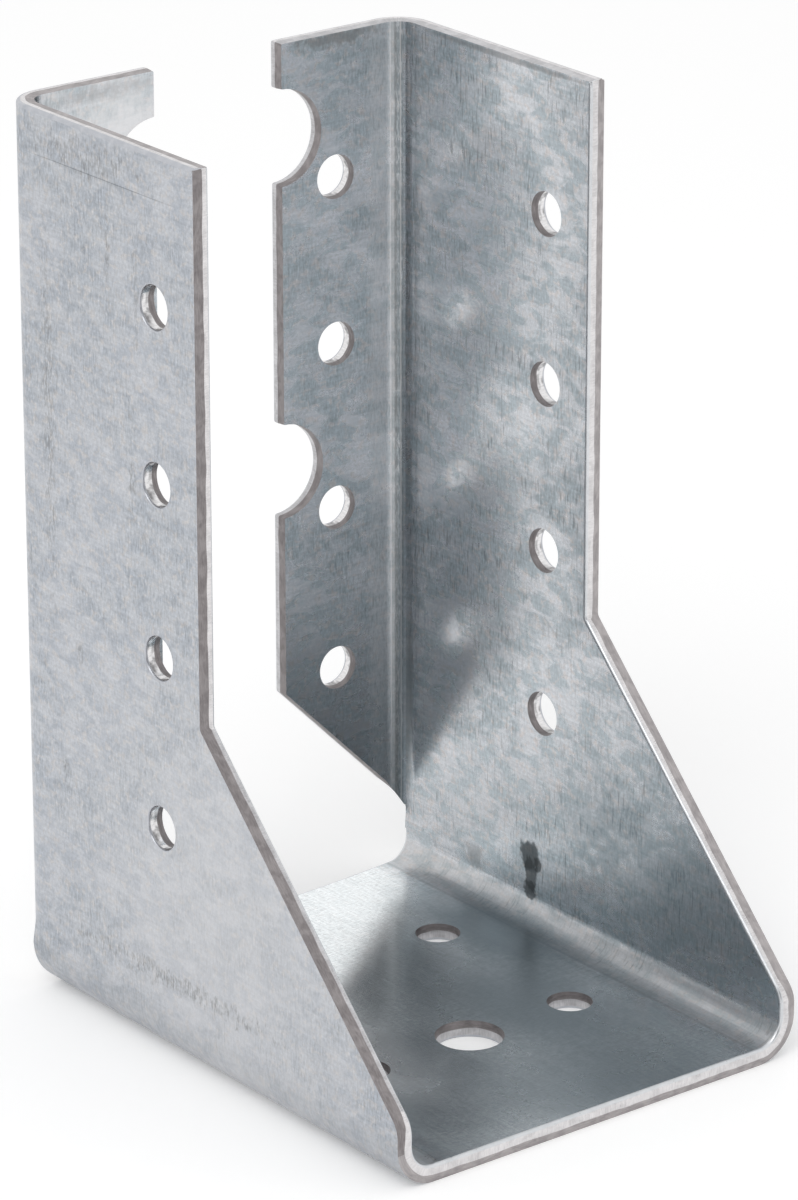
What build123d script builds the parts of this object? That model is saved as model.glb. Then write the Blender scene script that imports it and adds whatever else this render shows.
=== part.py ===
from build123d import *
import math
import os

# A joist hanger folded from one blank of galvanised sheet.
# Frame: X across the hanger, Y from the open front (minus) to the header (plus), Z up.
# The seat rests on Z = 0 and the box round the whole part is centred on X = 0, Y = 0.

# Driving dimensions in millimetres and degrees
sheet_thickness = 2.0
inner_width = 52.0
height = 105.0
seat_depth = 70.0

# The leaves: a narrow upper part, then a slope out to the full depth of the seat
leaf_top_depth = 35.5
slope_start_height = 42.0
toe_height = 7.5
slope_toe_radius = 3.0
slope_heel_radius = 0.6

# The two kinds of bend, by the radius on the inside of the fold
seat_bend_inner = 3.0
flange_bend_inner = 2.5

# The header flanges, turned inward, with their lower ends cut off at a slant
flange_width = 19.3
flange_cut_height = 26.4
flange_cut_angle = 45.0

# The back edge under the flanges: straight on the leaves, a shallow hollow across the seat
low_edge_setback = 2.5
seat_hollow_setback = 4.5
warp_height = 3.0

# Nail holes, punched from outside, so they widen a little toward the inside
nail_hole = 5.0
nail_hole_mouth = 5.3
punch_clean_depth = 1.1
nail_hole_first = 28.0
nail_hole_pitch = 20.0
nail_hole_rows = 4
leaf_hole_from_back = 28.0
flange_hole_from_side = 11.6

# Half-round bolt notches in the free edge of each flange
notch_diameter = 11.2
notch_first = 54.0
notch_pitch = 39.9
notch_rows = 2

# Seat holes: two pairs for nails, and one larger in the middle of the front pair
seat_hole_side = 14.5
seat_hole_rear = 23.3
seat_hole_front = 47.2
seat_bolt_hole = 7.6
seat_bolt_mouth = 7.9

# The sheared edges are rolled over on the side the tool entered
die_roll = 0.3

# Sizes that follow from those above
t = sheet_thickness
half_in = inner_width / 2
half_out = half_in + t
header = seat_depth / 2
front = -seat_depth / 2
seat_bend_outer = seat_bend_inner + t
flange_bend_outer = flange_bend_inner + t
bend_start = header - flange_bend_outer
bend_centre_x = half_out - flange_bend_outer
free_edge = half_out - flange_width
leaf_front = header - leaf_top_depth
low_edge = header - low_edge_setback

# The slanted cut is straight in the flat blank, so its height follows the developed length of the bend
bend_neutral = flange_bend_inner + t / 2
bend_length = bend_neutral * math.pi / 2
low_length = low_edge - bend_start
low_angle = math.degrees(low_length / bend_neutral)
cut_rate = math.tan(math.radians(flange_cut_angle))
cut_at_bend = flange_cut_height - (bend_centre_x - free_edge) * cut_rate
relief_height = cut_at_bend - (bend_length - low_length) * cut_rate
plate_top = relief_height - warp_height

# Cutters reach this far past the part
over = 20.0
near = 0.01


def block(x0, x1, y0, y1, z0, z1):
    """A block between two corners."""
    size = Box(x1 - x0, y1 - y0, z1 - z0)
    return Pos((x0 + x1) / 2, (y0 + y1) / 2, (z0 + z1) / 2) * size


def along_x(points, x0, x1):
    """A prism along X from a closed outline of (y, z) points."""
    face = make_face(Polyline(*[(x0, y, z) for y, z in points], close=True)).face()
    return Solid.extrude(face, Vector(x1 - x0, 0, 0))


def along_y(points, y0, y1):
    """A prism along Y from a closed outline of (x, z) points."""
    face = make_face(Polyline(*[(x, y0, z) for x, z in points], close=True)).face()
    return Solid.extrude(face, Vector(0, y1 - y0, 0))


def rod(start, end, radius):
    """A cylinder between two points."""
    start = Vector(*start)
    end = Vector(*end)
    return Solid.make_cylinder(radius, (end - start).length, Plane(origin=start, z_dir=end - start))


def punched(outside, inward, hole, mouth):
    """The cutter for one hole: clean from the outer face, then a slight flare to the inner face."""
    o = Vector(*outside)
    d = Vector(*inward)
    clean = rod(tuple(o - d), tuple(o + d * (t + 1)), hole / 2)
    rate = (mouth - hole) / 2 / (t - punch_clean_depth)
    reach = t - punch_clean_depth + 1
    place = Plane(origin=o + d * punch_clean_depth, z_dir=d)
    return clean + Solid.make_cone(hole / 2, hole / 2 + rate * reach, reach, place)


def keeps_to_y(edge, y):
    """True when both ends of an edge are at one depth."""
    return abs((edge @ 0).Y - y) < near and abs((edge @ 1).Y - y) < near


def across_at(shape, y, z):
    """The edges that run along X at one depth and height."""
    found = shape.edges().filter_by(Axis.X)
    return [e for e in found if abs(e.center().Y - y) < near and abs(e.center().Z - z) < near]


def off_inner_skin(p):
    """How far a point is from the inner face of the channel."""
    if abs(p.X) < half_in - seat_bend_inner:
        return abs(p.Z - t)
    if p.Z > t + seat_bend_inner:
        return abs(abs(p.X) - half_in)
    reach = math.hypot(abs(p.X) - half_in + seat_bend_inner, p.Z - t - seat_bend_inner)
    return abs(reach - seat_bend_inner)


# The channel: seat and leaves in one bent section
outer = block(-half_out, half_out, front, low_edge, 0, height)
outer = fillet(outer.edges().filter_by(Axis.Y).group_by(Axis.Z)[0], seat_bend_outer)
inner = block(-half_in, half_in, front - over, header + over, t, height + over)
inner = fillet(inner.edges().filter_by(Axis.Y).group_by(Axis.Z)[0], seat_bend_inner)
channel = outer - inner

# The front outline of both leaves, and the leaf above the low back edge ends where its bend starts
front_outline = [
    (front - over, toe_height),
    (front, toe_height),
    (leaf_front, slope_start_height),
    (leaf_front, height + over),
    (front - over, height + over),
]
channel = channel - along_x(front_outline, -half_out - over, half_out + over)
channel = channel - block(-half_out - over, half_out + over, bend_start, header + over, plate_top, height + over)
channel = fillet(across_at(channel, front, toe_height), slope_toe_radius)
channel = fillet(across_at(channel, leaf_front, slope_start_height), slope_heel_radius)

# Roll-over along the whole front edge, on the inner face
rolled = []
for e in channel.edges():
    on_skin = max(off_inner_skin(e @ k) for k in (0.0, 0.25, 0.5, 0.75, 1.0)) < near
    on_front = (e @ 0.5).Y < leaf_front + near and (e @ 0.5).Z < height - near
    along_fold = abs((e @ 0).X - (e @ 1).X) < near and abs((e @ 0).Z - (e @ 1).Z) < near
    if on_skin and on_front and not along_fold:
        rolled.append(e)
channel = fillet(rolled, die_roll)

# The hollow in the seat's back edge, a shallow arc from leaf to leaf
hollow = seat_hollow_setback - low_edge_setback
hollow_radius = (half_out ** 2 + hollow ** 2) / (2 * hollow)
hollow_centre = header - seat_hollow_setback + hollow_radius
channel = channel - rod((0, hollow_centre, -over), (0, hollow_centre, seat_bend_outer), hollow_radius)


def bend_point(radius, angle):
    """A point of the right-hand flange bend; the angle runs from the leaf (0) to the flange (90)."""
    a = math.radians(angle)
    return bend_centre_x + radius * math.cos(a), bend_start + radius * math.sin(a)


def bend_section(z, end_angle):
    """The section of the right-hand bend at one height, from the leaf to an angle."""
    half = end_angle / 2
    p0, p1, p2 = [(*bend_point(flange_bend_inner, a), z) for a in (0, half, end_angle)]
    q0, q1, q2 = [(*bend_point(flange_bend_outer, a), z) for a in (0, half, end_angle)]
    outline = [ThreePointArc(p0, p1, p2), Line(p2, q2), ThreePointArc(q2, q1, q0), Line(q0, p0)]
    return make_face(outline).face()


# The right-hand flange and its bend at full height
right = Solid.extrude(bend_section(relief_height, 90), Vector(0, 0, height - relief_height))
right = right + block(free_edge, bend_centre_x, header - t, header, relief_height, height)

# Its lower end, cut off at a slant from the free edge round the bend
slant = [
    (free_edge - over, relief_height - over),
    (free_edge - over, flange_cut_height + over * cut_rate),
]
steps = 8
for k in range(steps + 1):
    angle = 90 + (low_angle - 90) * k / steps
    developed = bend_neutral * math.radians(angle)
    x, y = bend_point(bend_neutral, angle)
    slant.append((x, cut_at_bend - (bend_length - developed) * cut_rate))
slant.append((slant[-1][0], relief_height - over))
right = right - along_y(slant, header - flange_width - over, header + over)

# The bolt notches, and the roll-over of the straight edges on the front face
for row in range(notch_rows):
    z = notch_first + notch_pitch * row
    right = right - rod((free_edge, header - t - over, z), (free_edge, header + over, z), notch_diameter / 2)
free_rim = [
    e for e in right.edges().filter_by(GeomType.LINE)
    if keeps_to_y(e, header - t) and (e @ 0.5).Z < height - near and (e @ 0.5).X < bend_centre_x - near
]
right = fillet(free_rim, die_roll)

# Under the slanted cut the sheet straightens out: a short warp from the bent section to the flat leaf
flat_section = make_face(
    Polyline(
        (half_in, bend_start, plate_top),
        (half_in, low_edge, plate_top),
        (half_out, low_edge, plate_top),
        (half_out, bend_start, plate_top),
        close=True,
    )
).face()
right = right + loft([flat_section, bend_section(relief_height, low_angle)])

# Everything is one folded sheet
body = channel + right + mirror(right, about=Plane.YZ)


def off_outer_skin(p):
    """How far a point of the top edge is from the outer face of leaf, bend and flange."""
    if p.Y < bend_start + near:
        return abs(abs(p.X) - half_out)
    if abs(p.X) < bend_centre_x + near:
        return abs(p.Y - header)
    return abs(math.hypot(abs(p.X) - bend_centre_x, p.Y - bend_start) - flange_bend_outer)


# Roll-over along the top, on the outer face
top_rim = [
    e for e in body.edges()
    if min((e @ 0).Z, (e @ 1).Z) > height - near and off_outer_skin(e @ 0.5) < near
]
body = fillet(top_rim, die_roll)

# Nail holes in leaves, flanges and seat, and the larger seat hole
for side in (-1, 1):
    flange_x = side * (half_out - flange_hole_from_side)
    for row in range(nail_hole_rows):
        z = nail_hole_first + nail_hole_pitch * row
        leaf_point = (side * half_out, header - leaf_hole_from_back, z)
        body = body - punched(leaf_point, (-side, 0, 0), nail_hole, nail_hole_mouth)
        body = body - punched((flange_x, header, z), (0, -1, 0), nail_hole, nail_hole_mouth)
    for back in (seat_hole_rear, seat_hole_front):
        seat_point = (side * seat_hole_side, header - back, 0)
        body = body - punched(seat_point, (0, 0, 1), nail_hole, nail_hole_mouth)
body = body - punched((0, header - seat_hole_front, 0), (0, 0, 1), seat_bolt_hole, seat_bolt_mouth)

hanger = body.solids()[0]
print("solids", len(body.solids()), "volume", round(hanger.volume, 1), hanger.bounding_box())

os.makedirs("parts", exist_ok=True)
export_step(hanger, "parts/hanger.step")
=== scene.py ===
# %% [markdown]
# # A joist hanger in galvanised sheet
# The real piece is one blank of 2 mm galvanised steel, punched and then folded four times: two folds
# make the seat and the leaves, two more turn the header flanges inward. This file makes it the same
# way. A flat blank is drawn, its holes are cut, its sheared edges get their real profile, and a
# function folds every point into place. Edges and grain then run as they do on the real sheet.

import math

import bpy
import numpy as np
from mathutils import Matrix, Vector
from mathutils.geometry import delaunay_2d_cdt


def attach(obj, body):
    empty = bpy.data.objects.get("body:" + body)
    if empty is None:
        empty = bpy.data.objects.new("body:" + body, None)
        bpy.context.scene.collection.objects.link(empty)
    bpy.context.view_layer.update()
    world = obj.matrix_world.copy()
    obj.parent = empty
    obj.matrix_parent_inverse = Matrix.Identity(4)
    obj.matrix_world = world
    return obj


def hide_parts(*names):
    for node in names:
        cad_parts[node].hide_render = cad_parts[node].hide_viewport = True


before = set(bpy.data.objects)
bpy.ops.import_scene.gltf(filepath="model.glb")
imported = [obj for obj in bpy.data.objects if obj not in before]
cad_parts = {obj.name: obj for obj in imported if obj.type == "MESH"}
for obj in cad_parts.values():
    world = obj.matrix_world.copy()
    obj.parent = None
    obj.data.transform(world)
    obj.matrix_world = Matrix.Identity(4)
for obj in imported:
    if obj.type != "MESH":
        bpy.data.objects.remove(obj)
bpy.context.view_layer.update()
scene = bpy.context.scene
MM = 0.001

# %% [markdown]
# ## Camera
# The photograph is taken from the front left, a little above, with a long lens: the upright edges
# stay almost parallel. A long lens far away is used here too. The small shift stands for the way
# the picture was cropped, off the middle of the lens.

# %% Camera
IMAGE_HEIGHT = 1200
FOCAL_PIXELS = 5834.20
FRAME_MIDDLE = (399.0, 600.0)
LENS_MIDDLE = (344.41, 537.67)
yaw, pitch, roll = math.radians(37.569), math.radians(-20.362), math.radians(-0.240)
looks = Vector((math.sin(yaw) * math.cos(pitch), math.cos(yaw) * math.cos(pitch), math.sin(pitch)))
level = looks.cross(Vector((0, 0, 1))).normalized()
upright = level.cross(looks)
right = level * math.cos(roll) + upright * math.sin(roll)
up = upright * math.cos(roll) - level * math.sin(roll)

lens = bpy.data.cameras.new("long_lens")
lens.sensor_width = 36.0
lens.lens = FOCAL_PIXELS * lens.sensor_width / IMAGE_HEIGHT
lens.shift_x = (FRAME_MIDDLE[0] - LENS_MIDDLE[0]) / IMAGE_HEIGHT
lens.shift_y = (LENS_MIDDLE[1] - FRAME_MIDDLE[1]) / IMAGE_HEIGHT
lens.clip_start = 0.01
lens.clip_end = 20.0
CAMERA_PLACE = (-0.37083, -0.47177, 0.28033)
camera = bpy.data.objects.new("camera", lens)
scene.collection.objects.link(camera)
axes = Matrix((right, up, -looks)).transposed().to_4x4()
camera.matrix_world = Matrix.Translation(CAMERA_PLACE) @ axes
scene.camera = camera
print("Lens, mm:", round(lens.lens, 1))

# %% [markdown]
# ## Sizes of the sheet
# These are the sizes of the CAD part, so that the folded sheet fills the same room. Depth through the
# sheet is counted from the face that ends up outside the channel.

# %% Sizes, in millimetres
SHEET = 2.0
HALF_OUT = 28.0
HEIGHT = 105.0
BACK = 35.0
FRONT = -35.0
SEAT_BEND = 3.0
FLANGE_BEND = 2.5
QUARTER = math.pi / 2

seat_flat = HALF_OUT - SEAT_BEND - SHEET
seat_neutral = SEAT_BEND + SHEET / 2
leaf_foot = seat_flat + seat_neutral * QUARTER
rise = SEAT_BEND + SHEET - leaf_foot

bend_start = BACK - FLANGE_BEND - SHEET
flange_neutral = FLANGE_BEND + SHEET / 2
bend_end = bend_start + flange_neutral * QUARTER
bend_middle = HALF_OUT - FLANGE_BEND - SHEET
FREE_EDGE = 8.7
LOW_EDGE = 32.5
CUT_HEIGHT = 26.4
WARP_HEIGHT = 3.0
warp_high = CUT_HEIGHT - (bend_middle - FREE_EDGE) - (bend_end - LOW_EDGE)
warp_low = warp_high - WARP_HEIGHT
print("Leaf starts at", round(leaf_foot, 3), "and flange at", round(bend_end, 3), "in the blank")

# %% [markdown]
# ## Folding
# A press brake keeps the middle of the sheet at its length. So a point of the blank, given by its
# distance across (s), its distance toward the header (w) and its depth in the sheet (h), is carried
# round an arc whose length is counted at mid-thickness. Under the flanges the fold fades out, because
# the sheet there is free.

# %% Fold a point of the blank
def fold(s, w, h):
    """The place of blank points in the folded part, in millimetres."""
    side = np.where(s < 0, -1.0, 1.0)
    a = np.abs(s)
    turn = np.clip((a - seat_flat) / seat_neutral, 0, QUARTER)
    radius = SEAT_BEND + SHEET - h
    x = np.where(a < seat_flat, a, seat_flat + radius * np.sin(turn))
    z = np.where(a < leaf_foot, SEAT_BEND + SHEET - radius * np.cos(turn), a + rise)
    run = w - bend_start
    swing = np.clip(run / flange_neutral, 0, QUARTER)
    left_over = np.clip(w - bend_end, 0, None)
    reach = FLANGE_BEND + SHEET - h
    bent_x = bend_middle + reach * np.cos(swing) - left_over
    bent_y = bend_start + reach * np.sin(swing)
    k = np.clip((z - warp_low) / (warp_high - warp_low), 0, 1)
    k = np.where(run > 0, k * k * (3 - 2 * k), 0)
    return np.stack([side * (x + (bent_x - x) * k), w + (bent_y - w) * k, z], -1)


corner = [np.array([v]) for v in (HEIGHT - rise, bend_end + bend_middle - FREE_EDGE, 0.0)]
print("Top corner of the right flange:", fold(*corner).round(2))

# %% [markdown]
# ## The outline of the blank
# The right half is drawn once, anticlockwise from the middle of the front edge, and mirrored. Each
# corner has a radius. Sheared corners are never quite sharp, and a small radius also lets the rolled
# edge run round them. The seat's back edge is a shallow hollow, drawn as part of a large circle.

# %% Arcs and rounded corners
def arc(centre, radius, start, end, step):
    """Points on an arc between two angles in radians."""
    count = max(3, int(abs(end - start) * radius / step) + 1)
    angles = np.linspace(start, end, count)
    return [(centre[0] + radius * math.cos(a), centre[1] + radius * math.sin(a)) for a in angles]


def rounded(path, step=0.25):
    """A path of (point, radius) with each corner turned into an arc."""
    points = [path[0][0]]
    for (before, _), (here, radius), (after, _) in zip(path, path[1:], path[2:]):
        p, q, r = np.array(before), np.array(here), np.array(after)
        into = (q - p) / np.linalg.norm(q - p)
        out = (r - q) / np.linalg.norm(r - q)
        turn = math.atan2(into[0] * out[1] - into[1] * out[0], into @ out)
        if radius == 0 or abs(turn) < 0.01:
            points.append(here)
            continue
        reach = radius * math.tan(abs(turn) / 2)
        side = math.copysign(1, turn)
        middle = q - into * reach + side * radius * np.array([-into[1], into[0]])
        first = math.atan2(-side * into[0], side * into[1])
        points += arc(middle, radius, first, first + turn, step)
    return points + [path[-1][0]]


def up_leaf(z):
    """The blank's s for a height on the leaf."""
    return z - rise


# %% The right half of the outline
TOE, TOE_RADIUS = 7.5, 3.0
SLOPE_START, HEEL_RADIUS = 42.0, 0.6
LEAF_FRONT, TOP_CORNER = -0.5, 0.3
NOTCH_RADIUS, NOTCH_CORNER, NOTCH_STEPS = 5.6, 0.25, 24
NOTCH_HEIGHTS = (93.9, 54.0)
FREE_CORNER, LOW_CORNER = 0.4, 0.8
HOLLOW_EDGE, HOLLOW_RADIUS, HOLLOW_STEPS = 30.5, 197.0, 12

free_edge = bend_end + bend_middle - FREE_EDGE
top = up_leaf(HEIGHT)
path = [((0, FRONT), 0), ((up_leaf(TOE), FRONT), TOE_RADIUS)]
path += [((up_leaf(SLOPE_START), LEAF_FRONT), HEEL_RADIUS)]
path += [((top, LEAF_FRONT), TOP_CORNER), ((top, free_edge), TOP_CORNER)]
for z in NOTCH_HEIGHTS:
    for k in range(NOTCH_STEPS + 1):
        a = math.pi * k / NOTCH_STEPS
        place = (up_leaf(z) + NOTCH_RADIUS * math.cos(a), free_edge - NOTCH_RADIUS * math.sin(a))
        path.append((place, NOTCH_CORNER if k in (0, NOTCH_STEPS) else 0))
path += [((up_leaf(CUT_HEIGHT), free_edge), FREE_CORNER)]
path += [((up_leaf(warp_high), LOW_EDGE), LOW_CORNER), ((leaf_foot, LOW_EDGE), 0)]
for k in range(HOLLOW_STEPS):
    part = 1 - k / HOLLOW_STEPS
    rises = HOLLOW_RADIUS - math.sqrt(HOLLOW_RADIUS ** 2 - (HALF_OUT * part) ** 2)
    path.append(((leaf_foot * part, HOLLOW_EDGE + rises), 0))
path.append(((0, HOLLOW_EDGE), 0))
half = rounded(path)
blank = half + [(-s, w) for s, w in reversed(half[1:-1])]
print("Outline points:", len(blank))

# %% Even spacing along the edge
def spaced(loop, step):
    """The loop with long stretches divided, so that the sheared edge can be uneven."""
    points = []
    for (s0, w0), (s1, w1) in zip(loop, loop[1:] + loop[:1]):
        count = max(1, round(math.hypot(s1 - s0, w1 - w0) / step))
        points += [(s0 + (s1 - s0) * k / count, w0 + (w1 - w0) * k / count) for k in range(count)]
    return points


EDGE_STEP = 0.6
blank = spaced(blank, EDGE_STEP)
print("Outline points with even spacing:", len(blank))

# %% [markdown]
# ## Holes
# The nail holes are punched from the outside. Four go up each leaf and each flange, at a pitch of
# 20 mm. The seat has two pairs and a larger hole between the front pair.

# %% Holes
def ring(s, w, diameter, count=48):
    """A round hole of the blank."""
    angles = [2 * math.pi * k / count for k in range(count)]
    return [(s + diameter / 2 * math.cos(a), w + diameter / 2 * math.sin(a)) for a in angles]


NAIL, LARGE = 5.0, 7.6
FIRST_ROW, PITCH, ROWS = 28.0, 20.0, 4
LEAF_HOLES = 7.0
FLANGE_HOLES = 16.4
SEAT_SIDE, SEAT_REAR, SEAT_FRONT = 14.5, 11.7, -12.2
holes = []
for side in (-1, 1):
    for row in range(ROWS):
        s = side * up_leaf(FIRST_ROW + PITCH * row)
        holes.append(ring(s, LEAF_HOLES, NAIL))
        holes.append(ring(s, bend_end + bend_middle - FLANGE_HOLES, NAIL))
    holes.append(ring(side * SEAT_SIDE, SEAT_REAR, NAIL))
    holes.append(ring(side * SEAT_SIDE, SEAT_FRONT, NAIL))
holes.append(ring(0, SEAT_FRONT, LARGE, 64))
print("Holes:", len(holes))

# %% [markdown]
# ## One mesh for the flat blank
# Blender's constrained triangulation fills the outline round the holes. Lines along the folds go in
# too, so that no triangle cuts across a bend and every arc stays round.

# %% Lines along the folds
# Each line reaches a little past the edge of the sheet, and what lies outside is dropped later
SEAT_STEPS, FLANGE_STEPS, WARP_STEPS = 12, 14, 6
PAST = 1.0
AFTER_FOLD, BEFORE_BEND = 0.3, 0.5
fold_lines = []
for side in (-1, 1):
    for k in range(SEAT_STEPS + 1):
        s = side * (seat_flat + (leaf_foot - seat_flat) * k / SEAT_STEPS)
        fold_lines.append(((s, FRONT - PAST), (s, LOW_EDGE + PAST)))
    for k in range(FLANGE_STEPS + 1):
        w = bend_start + (bend_end - bend_start) * k / FLANGE_STEPS
        fold_lines.append(((side * (leaf_foot + AFTER_FOLD), w), (side * (top + PAST), w)))
    for k in range(WARP_STEPS + 1):
        s = side * up_leaf(warp_low + (warp_high - warp_low) * k / WARP_STEPS)
        fold_lines.append(((s, bend_start - BEFORE_BEND), (s, LOW_EDGE + PAST)))
print("Lines along the folds:", len(fold_lines))

# %% Triangulate
def inside(points, loop):
    """Which points lie inside a closed loop."""
    a = np.array(loop)
    b = np.roll(a, -1, 0)
    x, y = points[:, :1], points[:, 1:]
    spans = (a[:, 1] > y) != (b[:, 1] > y)
    rise_of = np.where(b[:, 1] == a[:, 1], 1, b[:, 1] - a[:, 1])
    crosses = x < (b[:, 0] - a[:, 0]) * (y - a[:, 1]) / rise_of + a[:, 0]
    return (spans & crosses).sum(1) % 2 == 1


points, edges = [], []
for loop in [blank] + holes:
    first = len(points)
    points += loop
    edges += [(first + k, first + (k + 1) % len(loop)) for k in range(len(loop))]
for start, end in fold_lines:
    edges.append((len(points), len(points) + 1))
    points += [start, end]
found = delaunay_2d_cdt([Vector(p) for p in points], edges, [], 0, 0.01)
flat = np.array([tuple(v) for v in found[0]])
tris = np.array(found[2])
middle = flat[tris].mean(1)
kept = inside(middle, blank)
for loop in holes:
    kept &= ~inside(middle, loop)
tris = tris[kept]
p0, p1, p2 = (flat[tris[:, k]] for k in range(3))
area = (p1 - p0)[:, 0] * (p2 - p0)[:, 1] - (p1 - p0)[:, 1] * (p2 - p0)[:, 0]
tris[area < 0] = tris[area < 0][:, ::-1]
used, tris = np.unique(tris, return_inverse=True)
tris = tris.reshape(-1, 3)
flat = flat[used]
print("Blank:", len(flat), "points,", len(tris), "triangles")

# %% The blank's own edge loops
directed = {(a, b) for tri in tris.tolist() for a, b in zip(tri, tri[1:] + tri[:1])}
after = {a: b for a, b in directed if (b, a) not in directed}
loops = []
left = set(after)
while left:
    here = min(left)
    loop = []
    while here in left:
        left.remove(here)
        loop.append(here)
        here = after[here]
    loops.append(loop)
print("Edge loops:", len(loops), "longest", max(len(loop) for loop in loops))

# %% [markdown]
# ## The sheared edge
# A punch leaves four things on an edge, one after the other through the sheet: a roll-over where it
# pressed in, a smooth bright band where it cut, a rough grey-brown band where the steel tore, and a
# sharp rim. The seat's front and back edges and the fronts of the leaves were cut from the inner face.
# The holes, the top edges and the flanges were cut from the outer face, so the order turns round there.
# The profile is drawn once, as (how far out, how deep), and each stretch of edge changes it a little.

# %% Profile of a sheared edge
ROLL_WIDE, ROLL_DEEP, ROLL_STEPS = 0.40, 0.30, 5
CUT_START, CUT_END = 0.5, 1.05
profile = []
for k in range(ROLL_STEPS + 1):
    a = QUARTER * k / ROLL_STEPS
    profile.append((-ROLL_WIDE * (1 - math.sin(a)), ROLL_DEEP * (1 - math.cos(a))))
profile += [(0.0, CUT_START), (0.0, CUT_END)]
profile += [(-0.03, 1.25), (-0.05, 1.5), (-0.08, 1.75), (-0.12, SHEET)]
profile = np.array(profile)
last_roll, last_cut = ROLL_STEPS, ROLL_STEPS + 2
stations = len(profile)
print("Points across a sheared edge:", stations)

# %% Which edges are punched holes, and which were cut from the outer face
LONGEST_HOLE = 200
NEAR_TOP = 0.05
CLEAR_OF_LOW_EDGE = 0.3
PUNCHED_ROLL = 0.35


def is_punched(loop):
    """True for a hole, whose loop has far fewer points than the outline."""
    return len(loop) < LONGEST_HOLE


def roll_share(loop):
    """How wide the roll-over is: a tight punch leaves a narrower one round a hole."""
    return PUNCHED_ROLL if is_punched(loop) else 1.0


def cut_from_outside(loop):
    """1 where an edge point was cut from the outer face, 0 where from the inner face."""
    if is_punched(loop):
        return np.ones(len(loop))
    at_top = np.abs(flat[loop][:, 0]) > top - NEAR_TOP
    past_low_edge = flat[loop][:, 1] > LOW_EDGE + CLEAR_OF_LOW_EDGE
    return (at_top | past_low_edge).astype(float)


print("Punched holes:", sum(is_punched(loop) for loop in loops))

# %% Raise the blank into a solid sheet
chance = np.random.RandomState(7)
edge_normal = np.zeros_like(flat)
inset_out = np.zeros(len(flat))
inset_in = np.zeros(len(flat))
rims = []
for loop in loops:
    here = flat[loop]
    forward = np.roll(here, -1, 0) - here
    forward /= np.linalg.norm(forward, axis=1)[:, None]
    both = forward + np.roll(forward, 1, 0)
    both /= np.linalg.norm(both, axis=1)[:, None]
    normal = np.stack([both[:, 1], -both[:, 0]], 1)
    outside = cut_from_outside(loop)
    edge_normal[loop] = normal
    inset_out[loop] = np.where(outside > 0, -profile[0, 0] * roll_share(loop), -profile[-1, 0])
    inset_in[loop] = np.where(outside > 0, -profile[-1, 0], -profile[0, 0])
    rims.append((loop, here, normal, outside))


def skin(inset, depth):
    """All blank points on one face of the sheet."""
    place = flat - edge_normal * inset[:, None]
    return fold(place[:, 0], place[:, 1], np.full(len(flat), depth))


count = len(flat)
verts = [skin(inset_out, 0.0), skin(inset_in, SHEET)]
faces = [tri[::-1] for tri in tris.tolist()] + [[v + count for v in tri] for tri in tris.tolist()]
OUTER, INNER, ROLLED, PRESSED, BRIGHT, GREY, POLISHED, TORN, SMEARED = range(9)
zones = [OUTER] * len(tris) + [INNER] * len(tris)
maps = [flat[tri[::-1]] for tri in tris] + [flat[tri] for tri in tris]
print("Faces on both sides of the sheet:", len(faces))

# %% [markdown]
# The clean cut doesn't reach equally deep everywhere. It is deepest on the seat, where the tool was
# sharp, and least on the slopes. The bands also differ in finish: polished in the nail holes, dull on
# the flanges, and smeared along the seat's front, where the tear was dragged smooth.

# %% How deep the clean cut reaches
SEAT_CUT, PUNCH_CUT, TOP_CUT = 1.15, 1.15, 0.95
LEFT_SLOPE_CUT, RIGHT_SLOPE_CUT = 0.72, 0.80
LEFT_FRONT_CUT, RIGHT_FRONT_CUT = 0.86, 1.05
SLOPE_FADE = 4.0


def clean_cut_end(s, outside, punched):
    """The depth at which the cut band ends, for edge points at s."""
    places = [-leaf_foot - SLOPE_FADE, -leaf_foot, leaf_foot, leaf_foot + SLOPE_FADE]
    deep = np.interp(s, places, [LEFT_SLOPE_CUT, SEAT_CUT, SEAT_CUT, RIGHT_SLOPE_CUT])
    deep = np.where(s > up_leaf(SLOPE_START), RIGHT_FRONT_CUT, deep)
    deep = np.where(s < -up_leaf(SLOPE_START), LEFT_FRONT_CUT, deep)
    return np.where(outside > 0, PUNCH_CUT if punched else TOP_CUT, deep)


print("Cut band ends on the seat at:", SEAT_CUT)

# %% Which finish each band has
def band_finishes(s, w, on_top, outside, punched):
    """The material of the rolled, the cut and the torn band at every point of an edge."""
    on_flange = (outside > 0) & ~on_top & (not punched)
    in_seat = punched & (np.abs(s) < leaf_foot)
    on_left_slope = (s < -leaf_foot - SLOPE_FADE) & (s > -up_leaf(SLOPE_START)) & (w < 0)
    on_front = (s > -leaf_foot) & (w < 0) & (not punched)
    rolled = np.where(on_top | punched, PRESSED, ROLLED)
    cut = np.where(punched, POLISHED, np.full(len(s), BRIGHT))
    cut[on_flange | in_seat | on_left_slope] = GREY
    torn = np.where(on_top | on_front, SMEARED, TORN)
    # The right leaf's top is as grey where it tore as a dull cut is
    torn[on_top & (s > 0)] = GREY
    return rolled, cut, torn


# %% Close the sheet along every edge
# The roll-over goes deeper along the top
TOP_ROLL = 1.5
RAGGED, WANDER = 0.012, 0.035


def smooth_noise(shape, size, passes):
    """Random values that change gradually along an edge."""
    values = chance.normal(size=shape)
    for _ in range(passes):
        values = (np.roll(values, 1, 0) + 2 * values + np.roll(values, -1, 0)) / 4
    return values * size / max(values.std(), 1e-9)


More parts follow.
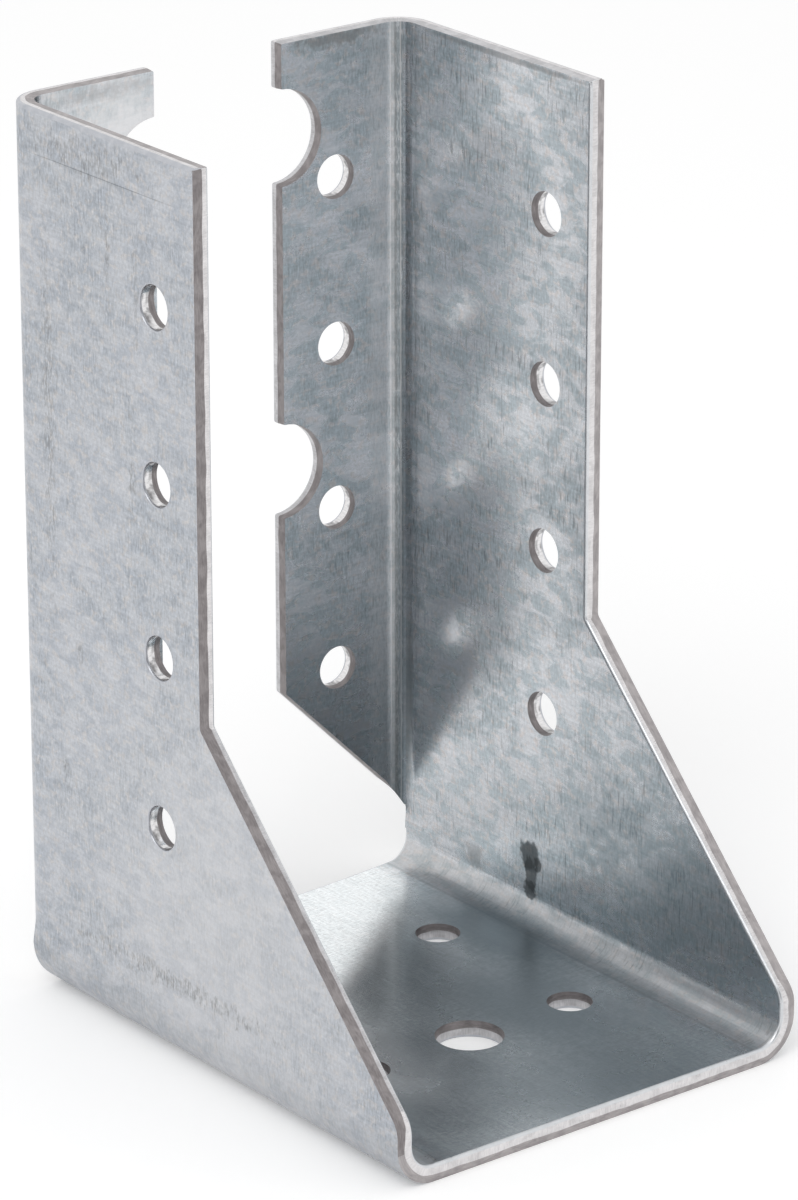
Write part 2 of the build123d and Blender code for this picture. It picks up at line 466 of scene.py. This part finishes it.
made = 2 * count
for loop, here, normal, outside in rims:
    m = len(loop)
    s, w = here[:, 0], here[:, 1]
    punched = is_punched(loop)
    on_top = (outside > 0) & (np.abs(s) > top - NEAR_TOP)
    cut_end = clean_cut_end(s, outside, punched)
    ragged = smooth_noise((m, stations), RAGGED, 1)
    wander = smooth_noise((m, 1), WANDER, 3)[:, 0]
    rows = []
    for k in range(stations):
        # Station k is counted from the outer face
        j = np.where(outside > 0, k, stations - 1 - k)
        far, deep = profile[j, 0].copy(), profile[j, 1].copy()
        far = np.where(j <= last_roll, far * roll_share(loop), far)
        far = np.where(j > last_cut, far + ragged[np.arange(m), j], far)
        deep = np.where((j <= last_roll) & on_top, deep * TOP_ROLL, deep)
        fade = np.interp(deep, [CUT_START, CUT_END, SHEET], [0, 1, 0])
        deep = deep + (wander + cut_end - CUT_END) * fade
        depth = np.where(outside > 0, deep, SHEET - deep)
        place = here + normal * far[:, None]
        rows.append(fold(place[:, 0], place[:, 1], depth))
    verts.append(np.concatenate(rows[1:-1]))
    index = [np.array(loop)]
    index += [made + np.arange(m) + m * (k - 1) for k in range(1, stations - 1)]
    index += [np.array(loop) + count]
    made += m * (stations - 2)
    rolled, cut, torn = band_finishes(s, w, on_top, outside, punched)
    steps = np.linalg.norm(np.roll(here, -1, 0) - here, axis=1)
    along = np.concatenate([[0], np.cumsum(steps)])
    for i in range(m):
        n = (i + 1) % m
        for k in range(stations - 1):
            faces.append([index[k][i], index[k + 1][i], index[k + 1][n], index[k][n]])
            j = k if outside[i] > 0 else stations - 2 - k
            band = rolled if j < last_roll else cut if j < last_cut else torn
            zones.append(int(band[i]))
            d0, d1 = (profile[j, 1], profile[j + 1, 1])
            if outside[i] == 0:
                d0, d1 = d1, d0
            maps.append([(along[i], d0), (along[i], d1), (along[i + 1], d1), (along[i + 1], d0)])
verts = np.concatenate(verts) * MM
print("Solid sheet:", len(verts), "points,", len(faces), "faces")

# %% Make the Blender mesh
mesh = bpy.data.meshes.new("folded_sheet")
mesh.from_pydata(verts.tolist(), [], [[int(v) for v in face] for face in faces])
mesh.polygons.foreach_set("material_index", zones)
layer = mesh.uv_layers.new(name="blank")
spots = np.concatenate([np.array(m) for m in maps]) * MM
layer.uv.foreach_set("vector", spots.astype(np.float32).ravel())
mesh.shade_smooth()
mesh.set_sharp_from_angle(angle=math.radians(40))
mesh.update()
piece = bpy.data.objects.new("joist_hanger", mesh)
scene.collection.objects.link(piece)
even = piece.modifiers.new("flat_faces_stay_flat", "WEIGHTED_NORMAL")
even.keep_sharp = True
even.weight = 50
print("Mesh checks:", "problems" if mesh.validate(verbose=False) else "none")

# %% [markdown]
# ## Surface effects as node groups
# Galvanised sheet has a few effects that every face shares: a fine grain and hatching from the rolls
# and the press tool, cloudy patches where the zinc dulled unevenly, and marks from handling. Each effect
# is a node group that is built once. All of them read the blank's own coordinates, so the grain follows
# the sheet round every fold, as it does on the real piece. The noises are flat ones, in two dimensions,
# because the blank is flat, and they cost far less time than solid noise.

# %% Short ways to build nodes
def put(tree, kind, inputs=(), **settings):
    """Add a node, set it up and feed its inputs with values or with other nodes' outputs."""
    node = tree.nodes.new(kind)
    for name, value in settings.items():
        setattr(node, name, value)
    for name, value in dict(inputs).items():
        if isinstance(value, bpy.types.NodeSocket):
            tree.links.new(value, node.inputs[name])
        else:
            node.inputs[name].default_value = value
    return node


def maths(tree, operation, a, b=0.0, c=0.0, clamp=False):
    """One step of arithmetic."""
    return put(tree, "ShaderNodeMath", {0: a, 1: b, 2: c}, operation=operation, use_clamp=clamp).outputs[0]


def ramp(tree, value, low, high, start=0.0, end=1.0):
    """A soft step between two values."""
    inputs = {"Value": value, "From Min": low, "From Max": high, "To Min": start, "To Max": end}
    return put(tree, "ShaderNodeMapRange", inputs, interpolation_type="SMOOTHSTEP").outputs["Result"]


def effect(name, inputs, outputs=("Value",)):
    """A new node group with named inputs and outputs."""
    tree = bpy.data.node_groups.new(name, "ShaderNodeTree")
    for label, value in inputs.items():
        kind = "NodeSocketVector" if value is None else "NodeSocketFloat"
        socket = tree.interface.new_socket(label, in_out="INPUT", socket_type=kind)
        if value is not None:
            socket.default_value = value
    for label in outputs:
        tree.interface.new_socket(label, in_out="OUTPUT", socket_type="NodeSocketFloat")
    start = tree.nodes.new("NodeGroupInput").outputs
    end = tree.nodes.new("NodeGroupOutput").inputs
    return tree, start, end


def stretched(tree, start):
    """Blank coordinates divided by a size across and a size toward the header, then shifted."""
    per_s = maths(tree, "DIVIDE", 1.0, start["Across"])
    per_w = maths(tree, "DIVIDE", 1.0, start["Along"])
    scale = put(tree, "ShaderNodeCombineXYZ", {"X": per_s, "Y": per_w}).outputs[0]
    shift = put(tree, "ShaderNodeCombineXYZ", {"X": start["Shift"], "Y": start["Shift"]}).outputs[0]
    inputs = {0: start["Vector"], 1: scale, 2: shift}
    return put(tree, "ShaderNodeVectorMath", inputs, operation="MULTIPLY_ADD").outputs[0]


# %% Grain and clouds
# Sizes are in metres, as everything in Blender here
grain_group, start, end = effect(
    "rolled_grain", {"Vector": None, "Across": 0.0004, "Along": 0.004, "Rough": 0.6, "Shift": 0.0}
)
noise = put(
    grain_group, "ShaderNodeTexNoise",
    {"Vector": stretched(grain_group, start), "Scale": 1.0, "Detail": 2.0, "Roughness": start["Rough"]},
    noise_dimensions="2D",
)
grain_group.links.new(noise.outputs["Fac"], end["Value"])

cloud_group, start, end = effect(
    "zinc_clouds",
    {
        "Vector": None, "Across": 0.004, "Along": 0.006, "Low": 0.35, "High": 0.65,
        "Twist": 0.4, "Shift": 0.0,
    },
)
noise = put(
    cloud_group, "ShaderNodeTexNoise",
    {
        "Vector": stretched(cloud_group, start), "Scale": 1.0, "Detail": 2.5, "Roughness": 0.55,
        "Distortion": start["Twist"],
    },
    noise_dimensions="2D",
)
cloud_group.links.new(ramp(cloud_group, noise.outputs["Fac"], start["Low"], start["High"]), end["Value"])
print("Groups:", grain_group.name, cloud_group.name)

# %% [markdown]
# Marks in one place, such as a smudge or the rub of the press tool, need a mask with a ragged edge. One
# group makes an oval spot, and another a straight band along a fold. Both take the raggedness from
# outside, so that one noise serves all marks of a face.

# %% Spots and bands
spot_group, start, end = effect(
    "ragged_spot",
    {"Vector": None, "S": 0.0, "W": 0.0, "Half S": 0.005, "Half W": 0.005, "Push": 0.0, "Soft": 0.5},
)
parts = put(spot_group, "ShaderNodeSeparateXYZ", {"Vector": start["Vector"]}).outputs
ds = maths(spot_group, "DIVIDE", maths(spot_group, "SUBTRACT", parts[0], start["S"]), start["Half S"])
dw = maths(spot_group, "DIVIDE", maths(spot_group, "SUBTRACT", parts[1], start["W"]), start["Half W"])
dw_squared = maths(spot_group, "MULTIPLY", dw, dw)
far = maths(spot_group, "SQRT", maths(spot_group, "MULTIPLY_ADD", ds, ds, dw_squared))
far = maths(spot_group, "ADD", far, start["Push"])
low = maths(spot_group, "SUBTRACT", 1.0, start["Soft"])
spot_group.links.new(ramp(spot_group, far, low, 1.0, 1.0, 0.0), end["Value"])

band_group, start, end = effect(
    "fold_band", {"Distance": 0.0, "Middle": 0.03, "Half": 0.001, "Soft": 0.001}
)
away = maths(band_group, "ABSOLUTE", maths(band_group, "SUBTRACT", start["Distance"], start["Middle"]))
far_end = maths(band_group, "ADD", start["Half"], start["Soft"])
band_group.links.new(ramp(band_group, away, start["Half"], far_end, 1.0, 0.0), end["Value"])
print("Groups:", spot_group.name, band_group.name)

# %% [markdown]
# ## Zinc skin
# Zinc is a grey-blue metal. It has no coat of paint, so its look is mostly what it mirrors: the inner
# faces mirror one another, and the outer face mirrors the floor. Base colour carries the dull patches, and
# it
# also holds painted light and shade: the two faces' base tones, the seat's sheen and several marks along
# the folds and on the seat and leaves stand for how bright the things they mirror are. Roughness carries
# the haze, and a shallow bump breaks up the mirror images the way rolled sheet does. Smooth patches of
# zinc stay brighter between hatched ones, so the hatching fades inside them.

# %% A zinc material
DARK = (0.085, 0.095, 0.10)
# A dark blue-grey for the zinc's dull clouds, also used as painted shade in some marks
TARNISH_AND_SHADE = (0.22, 0.27, 0.30)
# The seat's light zinc is painted sheen, for the bright backdrop the seat mirrors
SEAT_SHEEN = (0.92, 0.96, 0.97)
SEAT_FADE = (0.0185, 0.0235)


def use(tree, group, **values):
    """Place an effect group; words in a name are joined by underscores here."""
    node = tree.nodes.new("ShaderNodeGroup")
    node.node_tree = group
    for name, value in values.items():
        label = name.replace("_", " ")
        if isinstance(value, bpy.types.NodeSocket):
            tree.links.new(value, node.inputs[label])
        else:
            node.inputs[label].default_value = value
    return node.outputs[0]


def blend(tree, amount, a, b, how="MIX"):
    """Mix two colours."""
    node = put(tree, "ShaderNodeMix", data_type="RGBA", blend_type=how)
    for socket, value in ((node.inputs[0], amount), (node.inputs[6], a), (node.inputs[7], b)):
        if isinstance(value, bpy.types.NodeSocket):
            tree.links.new(value, socket)
        else:
            socket.default_value = value if isinstance(value, float) else (*value, 1.0)
    return node.outputs[2]


def shaded(tree, colour, amount, value):
    """A colour made darker or lighter by an amount of a value round one half."""
    factor = maths(tree, "MULTIPLY_ADD", value, amount, 1.0 - amount / 2)
    grey = put(tree, "ShaderNodeCombineXYZ", {"X": factor, "Y": factor, "Z": factor}).outputs[0]
    return blend(tree, 1.0, colour, grey, "MULTIPLY")


def new_material(name):
    """An empty metal material with its shader and the blank's coordinates."""
    material = bpy.data.materials.new(name)
    material.use_nodes = True
    tree = material.node_tree
    shader = tree.nodes["Principled BSDF"]
    shader.inputs["Metallic"].default_value = 1.0
    where = put(tree, "ShaderNodeUVMap", uv_map="blank").outputs[0]
    return material, tree, shader, where


def zinc(
    name, light, dull, warm, marks, rubs_and_shading,
    rough, haze, hatching, lines, dashes, clouding, polish_and_sheen, patch, edge,
):
    """Galvanised skin, with dull patches, grain, bands along the folds and marks in their places; some
    bands and marks are painted light and shade.
    """
    material, tree, shader, where = new_material(name)
    s, w = put(tree, "ShaderNodeSeparateXYZ", {"Vector": where}).outputs[:2]
    across = maths(tree, "ABSOLUTE", s)
    on_seat = ramp(tree, across, *SEAT_FADE, 1.0, 0.0)

    hatch = use(tree, grain_group, Vector=where, Across=0.0012, Along=0.00028, Rough=0.75)
    rolled = use(tree, grain_group, Vector=where, Across=0.00035, Along=0.007, Rough=0.7, Shift=3.0)
    speck = use(tree, grain_group, Vector=where, Across=0.00045, Along=0.0004, Rough=0.75, Shift=7.0)
    islands = use(
        tree, cloud_group, Vector=where, Across=0.8 * patch, Along=1.4 * patch,
        Low=0.5 - edge, High=0.5 + edge, Twist=0.4,
    )
    dash = use(tree, grain_group, Vector=where, Across=0.0028, Along=0.00032, Rough=0.35, Shift=15.0)
    weather = use(
        tree, cloud_group, Vector=where, Across=0.012, Along=0.014, Low=0.36, High=0.64, Shift=2.0,
    )
    bloom = use(
        tree, cloud_group, Vector=where, Across=0.35 * patch, Along=0.4 * patch,
        Low=0.50, High=0.72, Shift=9.0, Twist=0.5,
    )

    colour = blend(tree, islands, dull, light)
    clouds = maths(tree, "MULTIPLY_ADD", on_seat, -0.7 * polish_and_sheen, 1.0)
    clouded = maths(tree, "MULTIPLY", weather, clouds)
    colour = blend(tree, maths(tree, "MULTIPLY", clouded, clouding), colour, TARNISH_AND_SHADE)
    colour = blend(tree, maths(tree, "MULTIPLY", bloom, 0.6), colour, warm)
    # Painted sheen: the seat is blended toward a lighter zinc, for the bright backdrop it mirrors
    colour = blend(tree, maths(tree, "MULTIPLY", on_seat, polish_and_sheen), colour, SEAT_SHEEN)
    # The seat's inner face was pressed smooth, so the islands stand out less there
    standing = maths(tree, "MULTIPLY", islands, maths(tree, "MULTIPLY_ADD", on_seat, -polish_and_sheen, 1.0))
    rough_spots = maths(tree, "MULTIPLY_ADD", standing, -0.55, 1.0)
    rough_spots = maths(tree, "MULTIPLY_ADD", on_seat, -0.4, rough_spots)
    deviation = maths(tree, "MULTIPLY", maths(tree, "SUBTRACT", hatch, 0.5), rough_spots)
    deviation = maths(tree, "MULTIPLY", deviation, maths(tree, "ADD", weather, 0.55))
    cross = maths(tree, "ADD", deviation, 0.5)
    colour = shaded(tree, colour, hatching, cross)
    colour = shaded(tree, colour, lines, rolled)
    colour = shaded(tree, colour, 0.46, speck)
    # Dashes are plain on the leaves, weaker on the flanges and almost gone on the seat
    dashed = maths(tree, "MULTIPLY", ramp(tree, dash, 0.60, 0.74), maths(tree, "ADD", weather, 0.35))
    dashed = maths(tree, "MULTIPLY", dashed, maths(tree, "MULTIPLY_ADD", on_seat, -0.85, 1.0))
    on_leaf = ramp(tree, w, bend_start * MM, bend_end * MM, dashes, 0.3 * dashes)
    dashed = maths(tree, "MULTIPLY", dashed, on_leaf)
    colour = blend(tree, dashed, colour, DARK)
    colour = blend(tree, maths(tree, "MULTIPLY", ramp(tree, speck, 0.80, 0.84), 0.5), colour, DARK)

    roughness = maths(tree, "MULTIPLY_ADD", rough_spots, haze, rough)
    roughness = maths(tree, "MULTIPLY_ADD", weather, haze * 0.5, roughness)
    roughness = maths(tree, "MULTIPLY_ADD", on_seat, -0.08 * polish_and_sheen, roughness)

    # Bands along the folds; on the inner face they are painted shade and highlight laid over the folds'
    # reflections
    for middle, half, soft, tint, strength, dulling, axis in rubs_and_shading:
        distance = across if axis == "s" else w
        mask = use(tree, band_group, Distance=distance, Middle=middle * MM, Half=half * MM, Soft=soft * MM)
        mask = maths(tree, "MULTIPLY", mask, ramp(tree, hatch, 0.32, 0.62, 0.5, 1.0))
        colour = blend(tree, maths(tree, "MULTIPLY", mask, strength), colour, tint)
        roughness = maths(tree, "MULTIPLY_ADD", mask, dulling, roughness)

    uneven = use(tree, grain_group, Vector=where, Across=0.0014, Along=0.0010, Rough=0.65, Shift=12.0)
    for (ms, mw, hs, hw), ragged, soft, streaky, tint, strength in marks:
        push = maths(tree, "MULTIPLY_ADD", uneven, 2 * ragged, -ragged)
        mask = use(
            tree, spot_group, Vector=where, S=ms * MM, W=mw * MM, Half_S=hs * MM, Half_W=hw * MM,
            Push=push, Soft=soft,
        )
        if streaky:
            mask = maths(tree, "MULTIPLY", mask, ramp(tree, hatch, 0.62, 0.38))
        colour = blend(tree, maths(tree, "MULTIPLY", mask, strength), colour, tint)
        roughness = maths(tree, "MULTIPLY_ADD", mask, 0.15 * strength, roughness)

    height = maths(tree, "MULTIPLY_ADD", standing, 0.10, maths(tree, "MULTIPLY", cross, 0.22))
    bump = put(tree, "ShaderNodeBump", {"Height": height, "Distance": 0.00002, "Strength": 1.0}).outputs[0]
    tree.links.new(colour, shader.inputs["Base Color"])
    tree.links.new(roughness, shader.inputs["Roughness"])
    tree.links.new(bump, shader.inputs["Normal"])
    return material


# %% Marks on the sheet, and painted light and shade on the folds, the seat and the leaves
# Tints for bands and marks. The smear grey is used for real smears and for painted shade; the four tints
# after it are painted light and shade
SMEAR_AND_SHADE = (0.25, 0.25, 0.25)
PAINTED_BEND_GREY = (0.50, 0.49, 0.485)
PAINTED_FOLD_SHADE = (0.21, 0.235, 0.25)
PAINTED_LIGHT = (0.68, 0.68, 0.69)
PAINTED_REFLECTION = (0.82, 0.82, 0.83)
# A band along a fold: middle, half width and soft border in millimetres, tint, strength, dulling, axis
inner_fold_shading = [
    # Painted shade that dims the seat fold's bright reflection; the band also makes the zinc rougher there
    (25.3, 2.1, 1.3, PAINTED_BEND_GREY, 0.48, 0.12, "s"),
    # A thin dark line of painted shade along the seat's edge of its fold
    (22.3, 0.10, 0.25, SMEAR_AND_SHADE, 0.40, 0.05, "s"),
    # Painted light and shade in the flange fold, drawn as the reflection of a tighter fold: lighter on the
    # flange side, a dark middle, and two thin light lines
    (bend_start + 6.0, 0.9, 1.8, PAINTED_LIGHT, 0.45, 0.05, "w"),
    (bend_start + 3.1, 0.55, 0.35, PAINTED_FOLD_SHADE, 0.95, 0.05, "w"),
    (bend_start + 3.9, 0.4, 0.2, SMEAR_AND_SHADE, 0.45, 0.08, "w"),
    (bend_start + 4.45, 0.06, 0.10, PAINTED_LIGHT, 0.9, 0.0, "w"),
    (bend_start + 2.8, 0.04, 0.10, PAINTED_BEND_GREY, 0.7, 0.0, "w"),
]
# A mark: (middle s, middle w, half s, half w), raggedness, softness, streaky or not, tint, strength
inner_marks = [
    ((up_leaf(9.7), 8.9, 2.3, 2.0), 0.35, 0.35, False, DARK, 0.85),
    ((up_leaf(9.0), 7.4, 1.1, 0.9), 0.50, 0.40, False, DARK, 0.80),
    ((up_leaf(7.4), 8.7, 2.6, 1.2), 0.45, 0.30, False, DARK, 0.80),
    ((up_leaf(5.2), 8.9, 1.5, 1.3), 0.45, 0.35, False, DARK, 0.80),
    ((up_leaf(6.2), 19.3, 2.2, 2.4), 0.6, 0.7, False, SMEAR_AND_SHADE, 0.50),
    # Painted shade, laid over the mottled dull zinc there: the right leaf's inner face darker low down
    # toward the front
    ((up_leaf(15.0), -17.0, 15.0, 19.0), 0.4, 0.95, False, TARNISH_AND_SHADE, 0.42),
    # Painted reflection on the seat: darker toward its right and its front, lighter on its left
    ((19.5, 8.0, 9.5, 23.0), 0.08, 0.8, False, TARNISH_AND_SHADE, 0.90),
    ((11.0, -10.0, 17.0, 24.0), 0.08, 0.8, False, TARNISH_AND_SHADE, 0.80),
    ((2.0, -29.0, 20.0, 16.0), 0.08, 0.8, False, TARNISH_AND_SHADE, 0.62),
    ((-14.0, -8.0, 12.0, 22.0), 0.08, 0.95, False, PAINTED_REFLECTION, 0.85),
    # Painted shade, laid over the mottled dull zinc there: the right leaf darker low in its middle
    ((up_leaf(17.0), -3.0, 9.0, 9.0), 0.4, 0.9, False, TARNISH_AND_SHADE, 0.35),
    # Painted shade: a dark strip on the right leaf's inner face along the start of the flange fold
    ((up_leaf(22.0), bend_start + 1.4, 16.0, 1.3), 0.08, 0.8, False, PAINTED_FOLD_SHADE, 0.85),
    ((up_leaf(104.6), 14.0, 0.5, 18.0), 0.25, 0.6, False, SMEAR_AND_SHADE, 0.55),
    ((up_leaf(104.4), 43.0, 1.3, 8.0), 0.8, 0.7, False, SMEAR_AND_SHADE, 0.65),
    # Painted light: a lighter patch high on the left flange's inner face
    ((-up_leaf(94.0), 46.0, 16.0, 13.0), 0.3, 0.7, False, PAINTED_REFLECTION, 0.75),
    ((-up_leaf(103.8), 44.0, 1.3, 9.0), 0.8, 0.9, False, SMEAR_AND_SHADE, 0.35),
]
outer_rubs = [(27.0, 2.5, 1.5, SMEAR_AND_SHADE, 0.15, 0.05, "s")]
outer_marks = [
    # Painted light: the left leaf's outer face lighter toward the bottom
    ((-up_leaf(18.0), -5.0, 40.0, 36.0), 0.3, 0.95, False, PAINTED_LIGHT, 0.45),
    ((-up_leaf(10.2), 5.0, 1.5, 22.0), 1.2, 0.9, True, SMEAR_AND_SHADE, 0.60),
    ((-up_leaf(102.0), 19.0, 2.7, 12.5), 1.3, 0.9, True, SMEAR_AND_SHADE, 0.50),
    ((-up_leaf(100.3), 16.5, 0.08, 16.0), 0.25, 0.4, False, DARK, 0.40),
    ((-up_leaf(72.0), 27.0, 26.0, 1.5), 1.2, 0.9, True, SMEAR_AND_SHADE, 0.50),
    ((-up_leaf(93.0), 15.3, 4.2, 0.6), 0.8, 0.8, True, SMEAR_AND_SHADE, 0.65),
    ((-up_leaf(67.5), 11.3, 2.6, 0.9), 0.8, 0.8, True, SMEAR_AND_SHADE, 0.65),
    ((-up_leaf(44.0), 21.8, 1.8, 0.9), 0.8, 0.8, True, SMEAR_AND_SHADE, 0.55),
    ((-up_leaf(29.0), 25.0, 2.2, 0.9), 0.8, 0.8, True, SMEAR_AND_SHADE, 0.55),
    ((-up_leaf(88.0), 10.0, 10.0, 0.7), 1.2, 0.9, True, SMEAR_AND_SHADE, 0.35),
]
# The two faces are one zinc: the outer face's darker base colours and the inner face's lighter ones are
# painted shade and light, set for how bright the things each face mirrors are
skins = {
    OUTER: zinc(
        "zinc_outer_face", (0.520, 0.535, 0.566), (0.435, 0.460, 0.502), (0.565, 0.540, 0.525),
        outer_marks, outer_rubs, rough=0.24, haze=0.12, hatching=0.58, lines=0.22, dashes=0.12,
        clouding=0.10, polish_and_sheen=0.0, patch=0.0026, edge=0.16,
    ),
    INNER: zinc(
        "zinc_inner_face", (0.600, 0.617, 0.645), (0.472, 0.523, 0.555), (0.640, 0.592, 0.572),
        inner_marks, inner_fold_shading, rough=0.17, haze=0.11, hatching=0.60, lines=0.30, dashes=0.30,
        clouding=0.15, polish_and_sheen=0.8, patch=0.0027, edge=0.12,
    ),
}
print("Zinc:", [m.name for m in skins.values()])

# %% [markdown]
# ## Sheared metal
# The roll-over is still zinc, stretched and a little darker. The cut band is burnished steel with zinc
# dragged over it in fine lines that run through the sheet. The torn band is bare steel: dull, grainy,
# and brownish grey.

# %% Edge materials
def sheared(name, light, dark, rough, across, through, depth, lined=0.9, patchy=0.3):
    """An edge band with its grain; the coordinates here are along the edge and through the sheet."""
    material, tree, shader, where = new_material(name)
    lines = use(tree, grain_group, Vector=where, Across=across, Along=through, Rough=0.7, Shift=1.0)
    patches = use(
        tree, cloud_group, Vector=where, Across=0.0018, Along=0.0012, Low=0.35, High=0.65, Shift=4.0,
    )
    fade = maths(tree, "MULTIPLY_ADD", patches, patchy, maths(tree, "MULTIPLY", lines, lined), clamp=True)
    tree.links.new(blend(tree, fade, dark, light), shader.inputs["Base Color"])
    tree.links.new(maths(tree, "MULTIPLY_ADD", lines, 0.2, rough), shader.inputs["Roughness"])
    bump = put(tree, "ShaderNodeBump", {"Height": lines, "Distance": depth, "Strength": 1.0}).outputs[0]
    tree.links.new(bump, shader.inputs["Normal"])
    return material


skins[ROLLED] = sheared(
    "zinc_rolled_edge", (0.72, 0.73, 0.75), (0.56, 0.58, 0.60),
    rough=0.22, across=0.0012, through=0.0003, depth=4e-6,
)
skins[PRESSED] = sheared(
    "zinc_pressed_edge", (0.58, 0.59, 0.62), (0.42, 0.44, 0.48),
    rough=0.28, across=0.0012, through=0.0003, depth=4e-6,
)
skins[BRIGHT] = sheared(
    "burnished_band", (0.82, 0.80, 0.805), (0.48, 0.47, 0.475),
    rough=0.20, across=0.00016, through=0.0012, depth=1.2e-5,
)
skins[GREY] = sheared(
    "burnished_dull", (0.66, 0.655, 0.67), (0.32, 0.315, 0.325),
    rough=0.24, across=0.00016, through=0.0012, depth=1.2e-5,
)
skins[POLISHED] = sheared(
    "punched_band", (0.84, 0.83, 0.835), (0.12, 0.118, 0.122),
    rough=0.09, across=0.00016, through=0.0015, depth=1e-5, lined=0.45, patchy=0.7,
)
skins[TORN] = sheared(
    "torn_band", (0.38, 0.355, 0.355), (0.15, 0.135, 0.138),
    rough=0.42, across=0.0011, through=0.00016, depth=4e-5,
)
skins[SMEARED] = sheared(
    "torn_band_smeared", (0.52, 0.49, 0.49), (0.23, 0.215, 0.22),
    rough=0.38, across=0.0014, through=0.00016, depth=2.5e-5,
)
for zone in sorted(skins):
    mesh.materials.append(skins[zone])
print("Materials:", [m.name for m in mesh.materials])

# %% [markdown]
# ## Floor and light
# The hanger stands on a plain white floor in a white studio. The world gives even soft light, and one
# large lamp from the upper left gives the upper edges their shine and puts a soft shadow on the floor.

# %% Studio
WHITE_SEEN = ("Is Camera Ray", "Is Glossy Ray", "Is Transmission Ray")


def seen_directly(tree):
    """1 for rays from the camera or from a mirror or glass, else 0."""
    path = tree.nodes.new("ShaderNodeLightPath").outputs
    total = path[WHITE_SEEN[0]]
    for name in WHITE_SEEN[1:]:
        total = maths(tree, "MAXIMUM", total, path[name])
    return total


def square(name, half):
    """A flat square for the studio, linked to the scene."""
    sheet = bpy.data.meshes.new(name)
    corners = [(-half, -half, 0), (half, -half, 0), (half, half, 0), (-half, half, 0)]
    sheet.from_pydata(corners, [], [(0, 1, 2, 3)])
    placed = bpy.data.objects.new(name, sheet)
    scene.collection.objects.link(placed)
    return placed


world = bpy.data.worlds.new("studio")
scene.world = world
world.use_nodes = True
tree = world.node_tree
sky = tree.nodes["Background"]
sky.inputs["Color"].default_value = (1, 1, 1, 1)
SKY = 0.85
tree.links.new(maths(tree, "MULTIPLY_ADD", seen_directly(tree), 1.0 - SKY, SKY), sky.inputs["Strength"])

REACH = 3.0
floor = square("floor", REACH)
white = bpy.data.materials.new("white_floor")
white.use_nodes = True
tree = white.node_tree
shader = tree.nodes["Principled BSDF"]
shader.inputs["Base Color"].default_value = (0.9, 0.9, 0.9, 1)
shader.inputs["Roughness"].default_value = 1.0
shader.inputs["Specular IOR Level"].default_value = 0.0
shader.inputs["Emission Color"].default_value = (1, 1, 1, 1)
LIFT = 0.16
tree.links.new(maths(tree, "MULTIPLY", seen_directly(tree), LIFT), shader.inputs["Emission Strength"])
floor.data.materials.append(white)

lamp = bpy.data.lights.new("soft_lamp", "AREA")
lamp.shape = "SQUARE"
lamp.size = 0.5
lamp.energy = 1.6
lamp_object = bpy.data.objects.new("soft_lamp", lamp)
scene.collection.objects.link(lamp_object)
lamp_place = Vector((-0.45, -0.25, 0.65))
lamp_object.location = lamp_place
lamp_object.rotation_euler = (Vector((0, 0, 0.05)) - lamp_place).to_track_quat("-Z", "Y").to_euler()
scene.view_settings.view_transform = "Standard"
print("Lamp, W:", lamp.energy)

# %% [markdown]
# The seat, a leaf and a flange meet at right angles, so together they send light back the way it came.
# Deep in that corner the metal mirrors the camera's side of the room, which is dark in a studio. A grey
# card behind the camera stands for it. Only mirror rays see it, so it takes no light from the floor.

# %% Grey card behind the camera
CARD_HALF, BEHIND = 0.28, 0.05
card = square("grey_card", CARD_HALF)
card.matrix_world = Matrix.Translation(camera.matrix_world.translation - looks * BEHIND) @ axes
grey = bpy.data.materials.new("grey_card")
grey.use_nodes = True
shader = grey.node_tree.nodes["Principled BSDF"]
shader.inputs["Base Color"].default_value = (0.18, 0.18, 0.18, 1)
shader.inputs["Roughness"].default_value = 1.0
card.data.materials.append(grey)
card.visible_camera = False
card.visible_diffuse = False
card.visible_shadow = False
print("Card behind the camera, m:", 2 * CARD_HALF)

# %% What the piece stands for
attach(piece, "root")
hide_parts("hanger")
